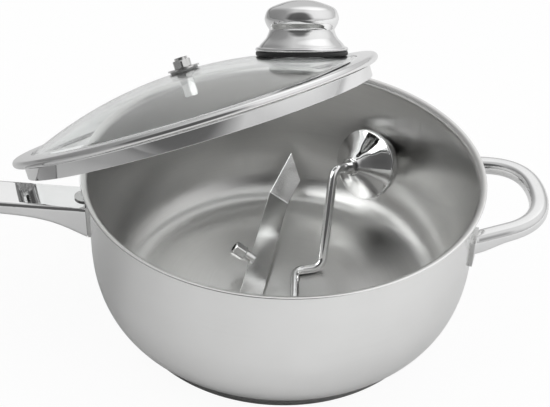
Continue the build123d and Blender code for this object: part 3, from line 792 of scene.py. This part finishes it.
def grip_cone():
    """Bell from the spindle out to a rolled lip."""
    outside = [
        (CONE_SMALL, -CONE_H),
        (CONE_SMALL + 2.2, -CONE_H * 0.82),
        (CONE_SMALL + 6.6, -CONE_H * 0.52),
        (LIP_IN - 3.6, -GRIP_LIP - 2.1),
        (LIP_IN, -GRIP_LIP),
    ]
    inside = [
        (LIP_IN - 3.0, GRIP_LIP),
        (LIP_IN - 3.0, -0.26),
        (CONE_SMALL + 5.8, -CONE_H * 0.52 + 0.8),
        (CONE_BORE, -CONE_H + 2.6),
    ]
    rolled = arc(LIP_IN, 0, GRIP_LIP, -90, 180, 10)
    return [(CONE_BORE, -CONE_H), (CONE_SMALL, -CONE_H)] + smooth_path(outside, 9) + rolled + inside


def grip_palm():
    """Domed cap inside the bell's lip."""
    outside = [
        (PALM_R, GRIP_LIP),
        (PALM_R * 0.985, GRIP_LIP + 3.4),
        (PALM_R * 0.93, PALM_H * 0.52),
        (PALM_R * 0.78, PALM_H * 0.76),
        (PALM_R * 0.50, PALM_H * 0.93),
        (0, PALM_H),
    ]
    inside = [(0, PALM_H - PALM_SHEET), (PALM_R * 0.5, PALM_H * 0.9 - PALM_SHEET), (PALM_R - 2.6, PALM_H * 0.5)]
    return [(PALM_R - 3.4, GRIP_LIP), (PALM_R, GRIP_LIP)] + smooth_path(outside, 9) + inside


def make_grip(fitting_steel):
    steel = polished("steel_grip", 0.85, 0.05)
    lathe("grip_bell", "grip", "grip_cone", grip_cone(), [steel], 128, 50, GRIP)
    lathe("grip_palm", "grip", "grip_crown", grip_palm(), [steel], 128, 50, GRIP)
    dress("grip_sleeve", fitting_steel, 40)
    dress("grip_nut", fitting_steel, 25)


# ---------------------------------------------------------------- stirrer, local X along the strip
STIRRER = placed((-13.4, 14.9, 14.64), (0.538, -0.117, 0.835), (0.152, 0.988, 0.040))
STRIP_W, STRIP_T, STRIP_CUT = 15.4, 1.2, 0.25
STRIP_BACK, STRIP_FRONT = 68.6, 65.2        # where the folds are
TIP_LONG, TIP_TAPER, FOLD_R = 30.5, 0.58, 1.6
FOLD_SKEW, FOLD = math.radians(-2.0), math.radians(45.0)
FOLD_STEPS, TIP_STEPS = 8, 6


def strip_ring(left, right, angle, side):
    """Eight corners of the strip's section, folded up by an angle at one end of the strip.

    left and right are the section's ends before the fold, as (along, across).
    """
    cut, low, high = STRIP_CUT, STRIP_CUT, STRIP_T - STRIP_CUT
    section = [(left, -cut, 0), (left, 0, low), (left, 0, high), (left, -cut, STRIP_T)]
    section += [(right, cut, STRIP_T), (right, 0, high), (right, 0, low), (right, cut, 0)]
    pivot = STRIP_T + FOLD_R
    reach = STRIP_BACK if side > 0 else STRIP_FRONT
    ring = []
    for (x, y), inset, z in section:
        along = x * math.cos(angle) - (z - pivot) * math.sin(angle)
        up = pivot + x * math.sin(angle) + (z - pivot) * math.cos(angle)
        across = y + inset
        a = along * math.cos(FOLD_SKEW) + across * math.sin(FOLD_SKEW)
        b = -along * math.sin(FOLD_SKEW) + across * math.cos(FOLD_SKEW)
        ring.append(STIRRER @ (Vector((side * (reach + a), b, up - STRIP_T / 2)) * MM))
    return ring


def strip_end(side):
    """Rings of one folded end, from the flat strip out to the slanted tip."""
    wide = STRIP_W / 2 / math.cos(FOLD_SKEW)
    rings = [strip_ring((0, wide), (0, -wide), FOLD * i / FOLD_STEPS, side) for i in range(FOLD_STEPS + 1)]
    for i in range(1, TIP_STEPS + 1):
        edges = []
        for reach, across in ((TIP_LONG, wide), (TIP_LONG * TIP_TAPER, -wide)):
            part = reach * i / TIP_STEPS
            edges.append((part * math.cos(FOLD_SKEW), across - part * math.sin(FOLD_SKEW)))
        rings.append(strip_ring(*edges, FOLD, side))
    return rings


def make_stirrer(fitting_steel):
    rings = list(reversed(strip_end(-1))) + strip_end(1)
    steel = drawn_steel("steel_strip", base=0.78, rough=0.16)
    outward(skin("strip_folded", "stirrer", "stirrer_blade", rings, [steel], 25.0))
    dress("stirrer_neck", fitting_steel)
    dress("stirrer_hub_nut", fitting_steel, 25)


# ---------------------------------------------------------------- stage and light
FLOOR_HALF, FLOOR_DROP = 4.0, 0.0003
SHADE_SWEEP_HALF = 0.45                           # painted shade in reflections: the floor's grey sweep, dark at the left to pale at the right
SHADE_SWEEP = greys((0.0, 0.34), (0.34, 0.68), (1.0, 0.92))
FLOOR_TONE, FLOOR_GLOW = 0.86, 0.94

SKY = (0, 0, 1), greys((0.0, 0.60), (0.5, 0.62), (0.72, 0.68), (1.0, 0.70))
DARK_FRONT = (-0.15, -0.80, 0.58), greys((0.0, 1.0), (0.84, 1.0), (0.92, 0.22), (1.0, 0.14))
DIM_LEFT = (-1.0, 0.15, 0.1), greys((0.0, 1.0), (0.70, 0.95), (0.88, 0.45), (1.0, 0.38))
BOX_RIGHT = (0.72, 0.05, 0.66), greys((0.0, 0.0), (0.84, 0.0), (0.93, 0.20), (1.0, 0.28))
BOX_BACK = (0.20, 0.66, 0.72), greys((0.0, 0.0), (0.93, 0.0), (0.98, 0.40), (1.0, 0.50))

LAMP_TARGET = Vector((0, 0, 0.05))
LAMPS = (("key", (-1.1, -0.1, 1.5), (1.7, 1.5), 14), ("fill", (1.3, -0.2, 1.0), (1.3, 1.3), 9))


def make_floor():
    """Pale floor: near white to the eye with a soft contact shadow; in reflections a grey sweep of painted shade,
    dark at the left.
    """
    mesh = bpy.data.meshes.new("floor")
    s = FLOOR_HALF
    mesh.from_pydata([(-s, -s, 0), (s, -s, 0), (s, s, 0), (-s, s, 0)], [], [(0, 1, 2, 3)])
    floor = bpy.data.objects.new("floor", mesh)
    floor.location.z = -FLOOR_DROP
    bpy.context.scene.collection.objects.link(floor)
    m = Mat("floor_white")
    m.tree.nodes.remove(m.bsdf)
    parts = m.add("ShaderNodeSeparateXYZ")
    m.link(m.position(), parts.inputs[0])
    # painted shade: the floor's colour in reflections darkens towards the left, standing in for a dimmer studio on
    # that side
    sweep = m.ramp(m.span(parts.outputs[0], -SHADE_SWEEP_HALF, SHADE_SWEEP_HALF), SHADE_SWEEP)
    tone = m.add("ShaderNodeMix", data_type="RGBA")
    fac, _, _, _, _, _, in_reflections, to_the_eye = list(tone.inputs)[:8]
    m.link(m.add("ShaderNodeLightPath").outputs["Is Camera Ray"], fac)
    m.link(sweep, in_reflections)
    to_the_eye.default_value = (*grey(FLOOR_TONE), 1)
    diffuse = m.add("ShaderNodeBsdfDiffuse")
    m.link(tone.outputs[2], diffuse.inputs["Color"])
    glow = m.add("ShaderNodeEmission")
    surface = m.mix_shaders(m.times(m.seen(), FLOOR_GLOW), diffuse.outputs[0], glow.outputs[0])
    m.link(surface, m.tree.nodes["Material Output"].inputs["Surface"])
    mesh.materials.append(m.material)


def make_world():
    """Soft studio whose camera side is dark, so that polished steel shows dark bands; white to the eye."""
    world = bpy.data.worlds.new("studio")
    bpy.context.scene.world = world
    world.use_nodes = True
    world.node_tree.nodes.clear()
    n = Nodes(world.node_tree)
    ray = n.add("ShaderNodeTexCoord").outputs["Generated"]

    def toward(direction, stops):
        """Tone by how much a ray points in a direction, from 0 away to 1 toward."""
        cosine = n.vector_math("DOT_PRODUCT", ray, Vector(direction).normalized()).outputs["Value"]
        return n.ramp(n.span(cosine, -1.0, 1.0), stops)

    room = toward(*SKY)
    for patch in (DARK_FRONT, DIM_LEFT):
        room = n.vector_math("MULTIPLY", room, toward(*patch)).outputs[0]
    for patch in (BOX_RIGHT, BOX_BACK):
        room = n.vector_math("ADD", room, toward(*patch)).outputs[0]
    reflected = n.add("ShaderNodeBackground")
    n.link(room, reflected.inputs["Color"])
    white = n.add("ShaderNodeBackground")
    white.inputs["Color"].default_value = (1, 1, 1, 1)
    surface = n.mix_shaders(n.seen(), reflected.outputs[0], white.outputs[0])
    n.link(surface, n.add("ShaderNodeOutputWorld").inputs["Surface"])


def make_lamps():
    for name, location, size, power in LAMPS:
        lamp = bpy.data.lights.new(name, "AREA")
        lamp.shape = "RECTANGLE"
        lamp.size, lamp.size_y = size
        lamp.energy = power
        ob = bpy.data.objects.new(name, lamp)
        ob.location = location
        ob.visible_glossy = False
        ob.rotation_mode = "QUATERNION"
        ob.rotation_quaternion = (LAMP_TARGET - Vector(location)).to_track_quat("-Z", "Y")
        bpy.context.scene.collection.objects.link(ob)


make_camera()
make_pot()
make_base()
make_handles()
fitting = drawn_steel("steel_fittings", base=0.72, rough=0.18)
make_lid(fitting)
make_knob(fitting)
make_crank()
make_grip(fitting)
make_stirrer(fitting)
make_floor()
make_world()
make_lamps()

bpy.context.scene.view_settings.view_transform = "Standard"
